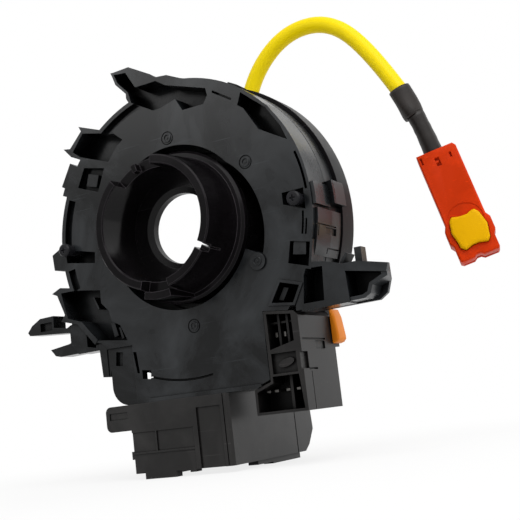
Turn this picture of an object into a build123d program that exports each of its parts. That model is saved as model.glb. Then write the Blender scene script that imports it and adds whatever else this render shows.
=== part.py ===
"""Steering clock spring: the spiral cable unit between a steering column and its wheel.

Sizes are in millimetres. The unit is drawn with its column-side face up: x runs across the
face, y runs up it, and z runs out of it toward the column. The face is z = 0 and the steering
axis is x = y = 0. STAND turns the finished pieces upright, with the face toward -Y and the
origin at the middle of the shaft bore.
"""

import math
import os

from build123d import *

# Drum that holds the coil
drum_radius = 53.5
drum_wall = 2.2
face_thickness = 3.0
cover_depth = 13.0
case_depth = 21.0
seam_chamfer = 0.4
left_rim_step = 1.1
rim_groove_reach = 5.9
rim_groove_width = 3.2
rim_groove_depth = 2.0
ledge_reach = 4.3
ledge_thickness = 1.0

# Ring that keeps the rotor in at the wheel side
ring_overhang = 1.5
ring_height = 10.0
ring_lip_reach = 1.3
ring_lip_thickness = 1.3
ring_edge = 0.9
running_gap = 0.3

# Rotor
web_radius = 12.7
web_chamfer = 2.1
web_chamfer_depth = 1.0
web_top = -3.0
web_bottom = -7.0
key_height = 1.6
hub_setback = 0.7
hub_wall = 1.6
floor_gap = 2.0
floor_thickness = 1.6
core_reach = 8.8
coil_core_wall = 1.4
coil_core_gap = 0.6
core_step = 0.8
plate_thickness = 2.4
plate_rim_thickness = 0.8
drive_pin_angle = 35
drive_pin_radius = 2.5
drive_pin_length = 8.0

# Cancelling cam: the sleeve on the rotor that stands out of the face
cam_bore = 20.2
cam_tip_wall = 3.2
cam_foot_wall = 4.8
cam_step_wall = 7.1
cam_height = 16.5
cam_edge = 0.4
cam_notch_start = 84
cam_notch_end = 130.5
cam_notch_depth = 6.5
latch_start = -106
latch_end = -78
latch_gap = 0.4
latch_wall = 2.6
latch_top = 15.0

# Face opening round the cam
well_gap = 2.2
well_wall = 1.1
well_depth = 17.0
lobe_extra = 1.1
lobe_x = 4.2
lobe_y = -5.5
lobe_start = -25.5
lobe_end = 60.0

# Snap pockets, ejector marks and screws in the face
pocket_wall = 0.9
pocket_depth = 8.0
slot_depth = 5.6
groove_depth = 2.4
ejector_radius = 2.5
ejector_depth = 0.35
ejector_line = 0.4
screw_x = 48.5
screw_radius = 2.2
screw_play = 0.1
screw_head_radius = 2.5
screw_head_height = 2.0
screw_rise = 2.2
cross_length = 2.2
cross_width = 0.6
cross_depth = 0.8

# Tabs and plates on the outside of the wall
tab_rise = 3.1
tab_foot_rise = 1.3
tab_split = -11.5
tab_start = -1.3
tab_end = 7.0
strip_rise = 1.0
strip_floor = 0.4
strip_start = -20.4
strip_end = -3.6
strip_top = -2.0
strip_margin = 0.8

# Hook and prong at the left
hook_top = -2.0

# Panel below the drum
skirt_left = -35.4
skirt_corner = 7.0
skirt_wall = 1.8
skirt_step = 1.2
skirt_step_right = -24.2
skirt_lip = 1.4
skirt_lip_rise = 0.6

# Lower housing
lower_gap = 6.5
lower_height = 24.4
lower_left = -27.3
lower_right = 13.8
lower_rear = 1.0
lower_front = 60.6
lower_wall = 2.2
lower_socket_depth = 22.0
lower_seam = 46.0
foot_height = 2.1
foot_setback = 11.1
bar_reach = 10.7
bar_height = 9.1
bar_depth = 7.0

# Side housing
side_left = 30.5
side_width = 12.7
side_above = 25.1
side_below = 9.0
side_foot_width = 6.5
side_foot_drop = 0.6
side_depth = 26.6
side_socket_depth = 14.0
cell_depth = 9.0
housing_gap = 0.15

# Orange lock on the side housing
lock_thickness = 2.4
lock_reach = 2.4
lock_drop = 11.7
lock_play = 0.1

# Wheel-side socket on the rotor
switch_width = 32.0
switch_height = 8.4
switch_length = 14.0
switch_wall = 1.3
switch_floor = 2.0

# Flat cable
cable_gap = 0.9
cable_margin = 5.5
cable_half_turns = 7
cable_start = 32
cable_end_span = 14
cable_thickness = 0.3
cable_roof_gap = 1.1
cable_lift = 1.6

# Wheel lead and its connector
lead_diameter = 6.6
boot_wide = 7.3
boot_narrow = 7.0
tail_diameter = 5.8
lead_route = [
    (-8.0, 40.0, -36.9),
    (-8.0, 40.0, -53.5),
    (-4.1, 51.4, -66.0),
    (4.3, 73.0, -66.0),
    (20.5, 86.0, -66.0),
    (40.0, 85.5, -66.0),
    (55.5, 69.5, -66.0),
    (66.3, 48.5, -66.0),
]
boot_end = (70.0, 37.6, -67.6)
plug_angle = -75.2
plug_roll = -16
plug_x = 80.9
plug_y = 1.1
plug_length = 44.6
plug_width = 15.5
plug_thickness = 9.0
plug_face = -67.0
plug_wall = 1.2
plug_entry_side = -1.3
plug_bulge = 1.1
catch_length = 13.4
catch_width = 13.6
catch_rise = 2.0
catch_place = 11.9
catch_stem = 6.0
catch_play = 0.3
catch_seat = 0.7
catch_clear = 0.1
stem_depth = 5.4

bore_middle = (web_top - web_chamfer_depth + web_bottom) / 2
STAND = Pos(0, bore_middle, 0) * Rot(90, 0, 0)

# Sizes that follow from the ones above
chamber_radius = drum_radius - drum_wall
left_rim_radius = drum_radius - left_rim_step
rim_groove_radius = drum_radius - rim_groove_reach
ledge_radius = chamber_radius - ledge_reach
ring_radius = drum_radius + ring_overhang
ring_lip_radius = chamber_radius - ring_lip_reach
ring_depth = case_depth + ring_height
plate_radius = ring_lip_radius - running_gap
plate_back = -(ring_depth - plate_thickness)
cam_tip_radius = cam_bore + cam_tip_wall
cam_foot_radius = cam_bore + cam_foot_wall
cam_step_radius = cam_bore + cam_step_wall
hub_radius = cam_step_radius - hub_setback
well_radius = cam_step_radius + well_gap
lobe_radius = well_radius + lobe_extra
floor_top = -(well_depth + floor_gap)
coil_core_radius = well_radius + core_reach
cable_inner = coil_core_radius + coil_core_wall + cable_gap
cable_outer = chamber_radius - cable_margin
pocket_floor = -(pocket_depth + pocket_wall)
coil_core_top = pocket_floor - coil_core_gap
cable_top = pocket_floor - cable_roof_gap
cable_low = plate_back + cable_lift
drive_pin_circle = (coil_core_radius - core_step + plate_radius) / 2
switch_near = coil_core_radius + 0.3
wall_root = drum_radius - 1.0
lower_top = -(drum_radius + lower_gap)
lower_bottom = lower_top - lower_height
foot_level = lower_bottom - foot_height
foot_front = lower_front - foot_setback
bar_left = lower_left - bar_reach
bar_bottom = lower_top - bar_height
side_right = side_left + side_width
side_top = lower_top + side_above
side_bottom = lower_top - side_below
side_foot_left = side_left - side_foot_width
side_foot_top = lower_top - side_foot_drop
lock_low = side_top - lock_drop


def raised(face, low, high):
    """Straight-walled solid over a face, from low to high."""
    return extrude(Pos(0, 0, low) * face, high - low)


def prism(outline, low, high):
    """Straight-walled solid over a closed outline of points."""
    return raised(make_face(Polyline(*outline, close=True)), low, high)


def block(left, right, bottom, top, low, high):
    """Box between six planes."""
    middle = Pos((left + right) / 2, (bottom + top) / 2, (low + high) / 2)
    return middle * Box(right - left, top - bottom, high - low)


def post(x, y, radius, low, high):
    """Round post standing along z."""
    return Pos(x, y, (low + high) / 2) * Cylinder(radius, high - low)


def sector_face(inner, outer, start, end):
    """Piece of a flat ring between two angles."""
    far = CenterArc((0, 0), outer, start, end - start)
    near = CenterArc((0, 0), inner, start, end - start)
    return make_face([far, near, Line(far @ 0, near @ 0), Line(far @ 1, near @ 1)])


def sector(inner, outer, start, end, low, high):
    """Piece of a ring between two angles, from low to high."""
    return raised(sector_face(inner, outer, start, end), low, high)


def turned(profile):
    """Ring or cup turned round the steering axis from (radius, z) points."""
    return revolve(Plane.XZ * make_face(Polyline(*profile, close=True)), Axis.Z)


def grown(outline, amount):
    """Closed outline moved outward by an amount, or inward if it is negative."""
    return offset(make_face(Polyline(*outline, close=True)), amount, kind=Kind.INTERSECTION)


def at_angle(angle, shape):
    """Shape drawn on the +x side, turned round the steering axis."""
    return Rot(0, 0, angle) * shape


def on_plug(shape):
    """Shape drawn along the plug, rolled about its long axis and moved to where the plug lies."""
    middle = plug_face - plug_thickness / 2
    rolled = Pos(0, 0, middle) * Rot(plug_roll, 0, 0) * Pos(0, 0, -middle) * shape
    return Pos(plug_x, plug_y, 0) * Rot(0, 0, plug_angle) * rolled


# ---------------------------------------------------------------- rear cover

horn = [
    (-22.2, 63.1),
    (-14.1, 63.4),
    (-4.9, 58.2),
    (-2.6, 56.4),
    (2.2, 55.9),
    (7.9, 53.2),
    (19.0, 49.4),
    (16.0, 38.0),
    (-6.0, 42.0),
    (-14.8, 48.6),
    (-16.4, 51.8),
    (-16.3, 53.6),
    (-20.6, 58.2),
]
horn_pocket = [
    (-21.0, 62.2),
    (-15.6, 61.6),
    (-11.9, 55.0),
    (-6.9, 54.9),
    (-2.8, 55.0),
    (1.3, 52.3),
    (7.6, 50.2),
    (17.8, 46.8),
    (18.3, 44.0),
    (16.3, 41.3),
    (7.4, 41.3),
    (4.9, 46.1),
    (-1.9, 44.4),
    (-5.0, 44.3),
    (-14.3, 49.6),
    (-15.4, 53.9),
    (-19.6, 58.6),
]
upper_clip = [
    (-39.6, 46.6),
    (-29.5, 42.9),
    (-24.1, 41.2),
    (-18.8, 36.8),
    (-18.6, 35.3),
    (-22.0, 34.9),
    (-26.5, 28.6),
    (-40.6, 34.0),
    (-44.3, 35.8),
    (-47.6, 39.5),
    (-44.5, 39.0),
    (-38.6, 44.6),
]
upper_clip_pocket = [
    (-38.0, 43.6),
    (-29.5, 41.6),
    (-24.1, 40.6),
    (-19.8, 36.8),
    (-22.6, 35.0),
    (-27.2, 30.0),
    (-40.2, 34.8),
    (-43.4, 37.4),
]
lower_clip = [
    (-59.2, -14.8),
    (-55.1, -13.1),
    (-47.9, -14.3),
    (-36.3, -16.2),
    (-35.3, -23.4),
    (-31.8, -26.7),
    (-33.0, -30.0),
    (-46.9, -28.3),
    (-55.8, -25.9),
    (-53.8, -23.6),
    (-56.8, -15.9),
]
lower_clip_pocket = [
    (-54.9, -15.2),
    (-47.9, -15.2),
    (-36.3, -16.9),
    (-36.4, -21.7),
    (-33.1, -25.2),
    (-32.2, -29.0),
    (-28.7, -31.0),
    (-26.0, -36.9),
    (-39.4, -35.2),
    (-46.0, -27.4),
    (-52.6, -25.2),
]
top_right_pocket = [
    (31.6, 41.7),
    (29.8, 37.4),
    (32.0, 35.8),
    (36.9, 27.1),
    (43.0, 23.5),
    (47.3, 21.0),
    (45.3, 26.4),
    (40.5, 34.0),
    (35.2, 38.5),
]
right_pocket = [
    (43.8, -13.2),
    (51.0, -14.7),
    (49.4, -22.6),
    (42.1, -20.4),
]
slant_pocket = [
    (38.4, -26.2),
    (45.4, -28.2),
    (42.4, -33.6),
    (34.4, -32.6),
]
left_slot = [
    (-50.9, 0.8),
    (-37.1, -2.4),
    (-37.5, -6.5),
    (-50.6, -4.3),
]
right_slot = [
    (50.9, 3.6),
    (42.8, 3.4),
    (42.8, -0.6),
    (50.9, -3.6),
]
left_block = [
    (5.5 - drum_radius, 1.8),
    (-drum_radius, 1.7),
    (-drum_radius - 3.9, -0.2),
    (-drum_radius - 3.4, -6.1),
    (2.0 - drum_radius, -7.2),
    (2.7 - drum_radius, -11.1),
    (4.9 - drum_radius, -12.2),
    (6.5 - drum_radius, -13.0),
]
hook = [
    (-49.0, -26.6),
    (-53.4, -27.6),
    (-55.0, -28.4),
    (-61.4, -27.4),
    (-61.3, -22.8),
    (-67.9, -23.0),
    (-72.1, -25.2),
    (-74.4, -27.6),
    (-73.5, -28.9),
    (-54.7, -30.3),
    (-48.0, -31.0),
]
prong = [
    (-50.0, -33.2),
    (-54.7, -34.5),
    (-63.7, -35.6),
    (-61.5, -38.2),
    (-59.1, -38.8),
    (-41.8, -38.4),
]
hook_root = [
    (-46.0, -24.0),
    (-51.8, -26.6),
    (-53.2, -30.6),
    (-53.2, -34.6),
    (-50.0, -38.9),
    (-36.5, -38.7),
    (-36.5, -28.0),
]
bracket = [
    (44.0, -20.4),
    (47.0, -21.4),
    (53.0, -21.4),
    (58.0, -23.6),
    (66.6, -23.6),
    (73.6, -24.9),
    (73.7, -30.2),
    (72.2, -34.6),
    (69.3, -36.5),
    (45.0, -37.0),
    (41.5, -35.5),
]
bracket_top_wall = [
    (58.0, -23.8),
    (66.6, -23.8),
    (76.8, -26.1),
    (75.9, -28.8),
    (58.0, -25.6),
]
bracket_low_wall = [
    (45.0, -35.0),
    (61.6, -35.0),
    (61.6, -36.5),
    (45.0, -37.0),
]
bracket_gap = [
    (47.4, -23.2),
    (54.2, -23.4),
    (53.5, -34.6),
    (46.0, -34.6),
]
bracket_block = [
    (44.0, -20.6),
    (54.8, -21.9),
    (61.0, -23.7),
    (62.0, -26.8),
    (62.4, -36.2),
    (43.0, -36.4),
]
left_tab = [
    (-45.1, 33.4),
    (-42.0, 31.6),
    (-45.4, 22.6),
    (-50.0, 25.2),
]
rib_plate = [
    (-39.8, -36.0),
    (-39.0, -48.8),
    (-35.8, -49.1),
    (-34.0, -36.0),
]
window_frame = [
    (-38.6, 30.2),
    (-29.3, 28.1),
    (-33.1, 19.7),
    (-42.3, 23.2),
]
window_boss = [
    (-37.0, 27.5),
    (-32.4, 26.1),
    (-33.8, 21.8),
    (-38.4, 23.1),
]
light_bar = [
    (-48.0, -27.9),
    (-46.0, -27.4),
    (-39.3, -35.0),
    (-40.6, -36.6),
]
hook_hole = [
    (-45.6, -31.6),
    (-41.4, -36.2),
    (-41.6, -37.6),
    (-45.6, -36.8),
]
corner_slot = [
    (-32.5, -40.4),
    (-29.4, -40.8),
    (-30.0, -45.8),
    (-33.1, -45.4),
]
thin_slot = [
    (-24.1, -41.4),
    (-22.7, -41.6),
    (-21.9, -49.3),
    (-23.0, -49.2),
]
sight_hole = [
    (-20.9, -48.3),
    (-17.0, -48.8),
    (-17.4, -51.9),
    (-20.9, -51.5),
]
top_slot = [
    (20.6, 45.2),
    (27.9, 40.4),
    (27.5, 39.8),
    (20.2, 44.5),
]
tray_rim = [
    (76.0, -28.6),
    (76.0, -30.0),
    (70.6, -32.2),
    (69.6, -34.8),
    (67.4, -36.0),
    (61.0, -36.2),
    (61.0, -35.0),
    (66.8, -34.8),
    (68.6, -34.0),
    (69.6, -31.4),
    (74.0, -29.4),
    (74.0, -28.4),
]
tray_slant = [
    (77.2, 0.5),
    (73.6, -9.0),
    (73.6, -11.0),
    (82.0, -11.0),
    (82.0, 0.5),
]
web_key = [
    (1.8, -14.9),
    (7.0, -13.7),
    (9.7, -15.9),
    (8.2, -17.5),
    (3.7, -19.4),
]
skirt = [
    (-24.0, -38.0),
    (skirt_left, -38.0),
    (skirt_left, lower_top),
    (24.0, lower_top),
    (side_left - 0.3, lower_top + 2.4),
    (side_left - 0.3, -34.0),
]


def well_face(extra=0.0):
    """Opening round the cam: a circle with a lobe on its right, grown by extra."""
    reach = 2 * drum_radius
    wedge = [(0, 0)]
    for angle in (lobe_start, (lobe_start + lobe_end) / 2, lobe_end):
        turn = math.radians(angle)
        wedge.append((reach * math.cos(turn), reach * math.sin(turn)))
    lobe = Pos(lobe_x, lobe_y) * Circle(lobe_radius)
    lobe = lobe & make_face(Polyline(*wedge, close=True))
    opening = Circle(well_radius) + lobe
    if extra:
        opening = offset(opening, extra, kind=Kind.ARC)
    return opening


def cup(outline, depth):
    """Walls and floor of a pocket let into the face."""
    return raised(grown(outline, pocket_wall), -depth - pocket_wall, 0)


def skirt_face(inset=0.0):
    """Panel outline below the drum with its round corner, made smaller by an inset."""
    face = make_face(Polyline(*skirt, close=True))
    corner = face.vertices().group_by(Axis.Y)[0].sort_by(Axis.X)[0]
    face = fillet(corner, skirt_corner)
    if inset:
        face = offset(face, -inset, kind=Kind.INTERSECTION)
    return face


def cover_shell():
    """Round face, its wall and the skirt panel below."""
    shell = turned(
        [
            (0, 0),
            (drum_radius, 0),
            (drum_radius, -cover_depth + seam_chamfer),
            (drum_radius - seam_chamfer, -cover_depth),
            (chamber_radius, -cover_depth),
            (chamber_radius, -face_thickness),
            (0, -face_thickness),
        ]
    )
    shell -= sector(left_rim_radius, drum_radius + 1, 96.0, 262.0, -face_thickness, 1)
    panel = raised(skirt_face(), -face_thickness, 0)
    panel += block(-18.7, 27.0, lower_top, lower_top + skirt_lip, -face_thickness, skirt_lip_rise)
    return shell + panel


def skirt_walls(low, high):
    """Walls behind the skirt panel, outside the drum."""
    walls = raised(skirt_face(), low, high)
    walls -= raised(skirt_face(skirt_wall), low - 1, high + 1)
    drum = Pos(0, 0, (low + high) / 2) * Cylinder(drum_radius - 0.5, 2 * (high - low))
    return walls - drum


def skirt_details():
    """Cuts in the lower left of the panel: lower step, slots, sight hole and drum line."""
    left = skirt_left - 1
    cuts = block(left, skirt_step_right, lower_top - 1, -38.9, -skirt_step, 1)
    cuts += prism(corner_slot, -groove_depth, 1)
    cuts += prism(thin_slot, -groove_depth, 1)
    cuts += prism(sight_hole, -face_thickness - 1, 1)
    cuts += sector(drum_radius, drum_radius + 0.8, 251.3, 279.1, -1.4, 1)
    return cuts


def tray_walls():
    """Top wall and curved rim of the right tray, cut on a slant at their outer ends."""
    walls = prism(bracket_top_wall, -10.0, 0) + prism(tray_rim, -9.0, -0.4)
    slant = make_face(Polyline(*tray_slant, close=True))
    end_plane = Plane(origin=(0, -20, 0), x_dir=(1, 0, 0), z_dir=(0, -1, 0))
    return walls - extrude(end_plane * slant, 20)


def brackets():
    """Hook and prong on the left, tray on the right, and the blocks at the rim."""
    solid = prism(hook, -9.0, hook_top) + prism(prong, -9.0, hook_top)
    solid += prism(hook_root, -9.0, -1.4)
    solid += prism(left_block, -cover_depth, 0)
    solid += prism(bracket, -10.0, -8.4) + prism(bracket_block, -10.0, 0)
    solid += prism(bracket_low_wall, -10.0, 0) + tray_walls()
    solid += block(64.8, 67.2, -25.0, -18.9, -7.0, -3.0)
    solid += prism([(58.0, -24.6), (59.4, -24.6), (62.4, -20.4), (61.6, -20.0)], -9.0, -3.0)
    solid -= prism(bracket_gap, -8.6, 1)
    solid += prism(left_tab, -7.0, 0) + prism(rib_plate, -8.0, -0.8)
    solid -= block(-68.0, -62.2, -28.2, -25.0, hook_top - 1.4, 1)
    solid -= prism(hook_hole, -pocket_depth, 1)
    return solid


def strip_marks():
    """Slits and shallow windows in the plates on the wall, through cover and case."""
    floor = drum_radius + strip_floor
    reach = drum_radius + tab_rise + 1
    marks = sector(floor, reach, -9.6, -9.1, -16.3, strip_top)
    marks += sector(floor, reach, -12.5, -9.9, -16.5, -7.8)
    marks += sector(floor, reach, -17.6, -17.1, -case_depth + 1, -10.7)
    marks += sector(floor, reach, -19.3, -17.3, -11.3, -10.7)
    marks += sector(floor, reach, -13.6, -9.3, -3.1, -2.4)
    return marks


def rim_clips():
    """Snap tabs and plates on the outside of the wall."""
    foot = drum_radius + tab_foot_rise
    tabs = sector(wall_root, foot, -2.5, 5.5, tab_split, -0.5)
    tabs += sector(wall_root, drum_radius + tab_rise, tab_start, tab_end, -cover_depth, tab_split)
    plate = drum_radius + strip_rise
    tabs += sector(wall_root, plate, strip_start, strip_end, -cover_depth, strip_top)
    tabs -= strip_marks()
    tabs += sector(wall_root, drum_radius + 1.1, 148.0, 156.5, -9.0, -0.2)
    tabs += sector(wall_root, drum_radius + 0.9, 60.0, 64.0, -cover_depth, -6.0)
    return tabs


def ejector_mark(angle, reach):
    """Round line with a small nub in its middle, beside the well."""
    line = Circle(ejector_radius) - Circle(ejector_radius - ejector_line)
    return at_angle(angle, Pos(well_radius + reach, 0, 0) * raised(line, -ejector_depth, 1))


def rear_cover():
    """Column-side moulding: face, well round the cam, pockets, skirt and brackets."""
    solid = cover_shell() + skirt_walls(-cover_depth, 0) + brackets() + rim_clips()
    solid += prism(horn, pocket_floor, 0)
    solid += raised(well_face(well_wall), -well_depth, 0)
    pockets = [
        horn_pocket,
        upper_clip_pocket,
        lower_clip_pocket,
        top_right_pocket,
        right_pocket,
        slant_pocket,
    ]
    slots = [left_slot, right_slot]
    solid += prism(upper_clip, pocket_floor, 0) + prism(lower_clip, pocket_floor, 0)
    solid += raised(grown(slant_pocket, pocket_wall), -1, 0.5)
    for outline in pockets:
        solid += cup(outline, pocket_depth)
    for outline in slots:
        solid += cup(outline, slot_depth)
    for outline in pockets:
        solid -= prism(outline, -pocket_depth, 1)
    for outline in slots:
        solid -= prism(outline, -slot_depth, 1)
    solid -= raised(well_face(), -well_depth - 1, 1)
    solid -= rim_cuts() + skirt_details()
    solid += post_at(-29.9, 6.2)
    for angle, reach in ((90.4, 3.2), (29.1, 5.3), (-85.4, 6.4)):
        solid -= ejector_mark(angle, reach)
    solid += face_details()
    for side in (-1, 1):
        solid -= post(side * screw_x, 0, screw_radius, -slot_depth - pocket_wall, 1)
    solid -= raised(grown(side_outline(), housing_gap), -side_depth - 1, 1)
    return solid


def post_at(angle, reach):
    """Raised round boss beside the well."""
    boss = Pos(well_radius + reach, 0, 0) * raised(Circle(3.0), -face_thickness, 0.7)
    return at_angle(angle, boss)


def rim_cuts():
    """Grooves along the left edge, slots along the right edge and the window at upper left."""
    outer = rim_groove_radius + rim_groove_width
    cuts = sector(rim_groove_radius, outer, 96.5, 126.0, -rim_groove_depth, 1)
    cuts += sector(rim_groove_radius, outer, 157.5, 178.5, -rim_groove_depth, 1)
    cuts += sector(rim_groove_radius, outer, 188.5, 198.0, -rim_groove_depth, 1)
    edge = chamber_radius + 0.3
    cuts += sector(edge, edge + 0.9, 3.4, 18.4, -4.0, 1)
    cuts += sector(edge - 2.0, edge - 1.3, -13.5, -4.6, -groove_depth, 1)
    cuts += sector(edge - 0.7, edge - 0.1, -13.5, -7.5, -groove_depth, 1)
    cuts += prism(top_slot, -groove_depth, 1)
    cuts += prism(window_frame, -groove_depth, 1)
    return cuts


def face_details():
    """Bosses, bars and ribs inside the pockets and the window."""
    bits = prism(window_boss, -face_thickness, -0.3)
    bits += prism([(44.9, -13.1), (49.3, -14.3), (48.7, -18.5), (44.0, -17.7)], -pocket_depth, -0.6)
    bits += prism([(38.6, -27.8), (40.4, -28.3), (38.0, -32.2), (36.2, -31.8)], -pocket_depth, -1.6)
    bits += prism([(-41.9, -18.6), (-41.2, -18.7), (-39.2, -23.3), (-39.9, -23.5)], -pocket_depth, -2.4)
    bits += prism([(-34.4, -29.4), (-32.6, -29.8), (-31.4, -34.4), (-33.2, -34.8)], -pocket_depth, -2.2)
    bits += prism([(-30.2, -31.6), (-29.4, -31.8), (-28.2, -35.8), (-29.2, -35.9)], -pocket_depth, -1.2)
    bits += prism(light_bar, -pocket_depth, 0.3)
    return bits


def side_outline():
    """Outline of the side housing on the face."""
    return [
        (side_left, side_top),
        (side_right - 1.5, side_top - 1.2),
        (side_right, side_top - 2.8),
        (side_right, side_bottom),
        (side_foot_left, side_bottom),
        (side_foot_left, side_foot_top),
        (side_left, side_foot_top + 2.2),
    ]


# ---------------------------------------------------------------- drum case and ring


def stator_case():
    """Second half of the drum, with an inner ledge and the catches for the cover's tabs."""
    solid = turned(
        [
            (drum_radius - seam_chamfer, -cover_depth),
            (drum_radius, -cover_depth - seam_chamfer),
            (drum_radius, -case_depth),
            (ledge_radius, -case_depth),
            (ledge_radius, -case_depth + ledge_thickness),
            (chamber_radius, -case_depth + ledge_thickness),
            (chamber_radius, -cover_depth),
        ]
    )
    tab = drum_radius + tab_rise
    solid += sector(wall_root, tab, tab_start, tab_end, -case_depth + 0.1, -cover_depth)
    plate_end = -case_depth + strip_margin
    plate = drum_radius + strip_rise
    solid += sector(wall_root, plate, strip_start, strip_end, plate_end, -cover_depth)
    solid -= strip_marks()
    solid += skirt_walls(-case_depth + 1, -cover_depth)
    solid -= raised(grown(side_outline(), housing_gap), -side_depth - 1, 1)
    return solid


def front_ring():
    """Retaining ring with the groove that the rotor's rim runs in."""
    groove_top = plate_back + running_gap
    groove_low = -ring_depth + ring_lip_thickness
    return turned(
        [
            (chamber_radius, -case_depth),
            (ring_radius, -case_depth),
            (ring_radius, -ring_depth + ring_edge),
            (ring_radius - ring_edge, -ring_depth),
            (ring_lip_radius, -ring_depth),
            (ring_lip_radius, groove_low),
            (chamber_radius, groove_low),
            (chamber_radius, groove_top),
            (ring_lip_radius, groove_top),
            (ring_lip_radius, groove_top + 1.0),
            (chamber_radius, groove_top + 2.2),
        ]
    )


# ---------------------------------------------------------------- rotor


def rotor_hub():
    """Rotor: bore web, stepped hub, coil core and the plate that faces the wheel."""
    floor_low = floor_top - floor_thickness
    core_outer = coil_core_radius + coil_core_wall
    rim_radius = chamber_radius - running_gap
    solid = turned(
        [
            (web_radius + web_chamfer, web_top),
            (hub_radius, web_top),
            (hub_radius, floor_top),
            (coil_core_radius, floor_top),
            (coil_core_radius, coil_core_top),
            (core_outer, coil_core_top),
            (core_outer, plate_back),
            (rim_radius, plate_back),
            (rim_radius, plate_back - plate_rim_thickness),
            (plate_radius, plate_back - plate_rim_thickness),
            (plate_radius, -ring_depth),
            (coil_core_radius - core_step, -ring_depth),
            (coil_core_radius - core_step, floor_low),
            (hub_radius - hub_wall, floor_low),
            (hub_radius - hub_wall, web_bottom),
            (web_radius, web_bottom),
            (web_radius, web_top - web_chamfer_depth),
        ]
    )
    for angle in (drive_pin_angle, drive_pin_angle + 180):
        pin = post(drive_pin_circle, 0, drive_pin_radius, -ring_depth - drive_pin_length, -ring_depth)
        solid += at_angle(angle, pin)
    solid -= block(6.0, 11.6, -11.2, -6.6, web_bottom - 1, web_top + 1)
    solid += prism(web_key, web_bottom, web_top + key_height)
    solid += post(4.9, -16.6, 1.4, web_top, web_top + key_height + 0.5)
    return solid


def cancel_cam():
    """Sleeve that works the indicator return, with a rim notch and a latch below."""
    solid = turned(
        [
            (cam_bore, web_top),
            (cam_step_radius, web_top),
            (cam_step_radius, -0.9),
            (cam_step_radius - 0.9, 0),
            (cam_foot_radius, 0.2),
            (cam_tip_radius, cam_height - cam_edge),
            (cam_tip_radius - cam_edge, cam_height),
            (cam_bore + cam_edge, cam_height),
            (cam_bore, cam_height - cam_edge),
        ]
    )
    notch_floor = cam_height - cam_notch_depth
    near = cam_bore - 1
    solid -= sector(near, cam_foot_radius, cam_notch_start, cam_notch_end, notch_floor, cam_height + 1)
    solid += sector(cam_bore + 0.4, cam_tip_radius, 106, 111, notch_floor - 1, notch_floor + 3)
    solid -= sector(near, cam_foot_radius, latch_start, latch_end, cam_height - 5, cam_height + 1)
    latch = cam_tip_radius + latch_gap
    solid += sector(latch, latch + latch_wall, latch_start + 2, latch_end - 2, 0, latch_top)
    solid -= sector(near, cam_foot_radius, -35, -28.5, cam_height - 4, cam_height + 1)
    solid -= sector(near, cam_foot_radius, -31.6, -30.2, cam_height - 9.5, cam_height - 3)
    return solid


def coil_liner():
    """Slip ring that the coil's edge runs on."""
    inner = coil_core_radius + coil_core_wall + 0.4
    return raised(Circle(ring_lip_radius - 0.8) - Circle(inner), plate_back, plate_back + 0.4)


def flat_cable():
    """Ribbon wound in the chamber, each half turn an arc about its own centre."""
    pitch = (cable_outer - cable_inner) / cable_half_turns
    ribbon = None
    for turn in range(cable_half_turns):
        side = 1 if turn % 2 == 0 else -1
        radius = cable_inner + pitch * (turn + 0.5)
        start = 0 if side > 0 else 180
        arc = sector_face(radius, radius + cable_thickness, start, start + 180)
        half = raised(Pos(-side * pitch / 2, 0) * arc, cable_low, cable_top)
        ribbon = half if ribbon is None else ribbon + half
    return at_angle(cable_start, ribbon)


def outer_lead_block():
    """Fixed end of the ribbon, against the drum wall."""
    top = cable_top - 1.0
    start = cable_start + 180 * (cable_half_turns % 2)
    end = start + cable_end_span
    low = -case_depth + ledge_thickness
    solid = sector(cable_outer + 1.0, chamber_radius, start, end, low, top)
    near = cable_outer + 3.4
    return solid - sector(near, chamber_radius - 1.1, start + 2, end - 2, top - 3, top + 1)


def inner_lead_block():
    """Moving end of the ribbon, on the rotor's core."""
    core = coil_core_radius + coil_core_wall
    start = cable_start - cable_end_span
    return sector(core, cable_inner - 0.25, start, cable_start - 2, cable_low + 1, cable_top - 1)


def switch_socket():
    """Wheel-side socket for the switch plug, open toward the wheel."""
    near = -switch_near
    far = near - switch_height
    end = -ring_depth - switch_length
    half = switch_width / 2
    shell = block(-half, half, far, near, end, -ring_depth)
    inner = half - switch_wall
    hollow = block(
        -inner, inner, far + switch_wall, near - switch_wall, end - 1, -ring_depth - switch_floor
    )
    shell -= hollow
    shell += block(-2.0, 2.0, far - 0.9, far, end + 5.0, -ring_depth)
    return shell


def switch_terminals():
    """Two rows of pins in the wheel-side socket."""
    pins = []
    middle = -(switch_near + switch_height / 2)
    root = -ring_depth - switch_floor
    for column in range(6):
        x = -11.0 + 4.4 * column
        for y in (middle - 1.5, middle + 1.5):
            pins.append(block(x - 0.4, x + 0.4, y - 0.4, y + 0.4, root - 6.0, root))
    return pins


def lead_retainer():
    """Block on the rotor plate that the wheel lead comes out of."""
    x, y, end = lead_route[0]
    grip = lead_diameter / 2
    solid = block(x - grip - 2.7, x + grip + 2.7, y - 2.0, y + grip + 2.9, end, -ring_depth)
    solid = chamfer(solid.edges().filter_by(Axis.Z), 1.5)
    solid += block(x - grip - 1.3, x + grip + 1.3, y - 2.2, y + grip + 2.3, end, -ring_depth)
    return solid


# ---------------------------------------------------------------- wheel lead


def lead_path():
    """Centreline of the lead: straight runs joined by tangent arcs."""
    points = [Vector(*point) for point in lead_route]
    radii = []
    for before, here, after in zip(points, points[1:], points[2:]):
        one = here - before
        two = after - here
        half = math.radians(one.get_angle(two)) / 2
        radii.append(0.45 * min(one.length, two.length) / math.tan(half))
    print("lead bend radii", [round(radius, 1) for radius in radii])
    return FilletPolyline(*points, radius=radii)


def airbag_lead():
    """Sleeved lead from the retainer to the boot."""
    path = lead_path()
    section = Plane(path @ 0, z_dir=path % 0) * Circle(lead_diameter / 2)
    return sweep(section, path)


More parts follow.
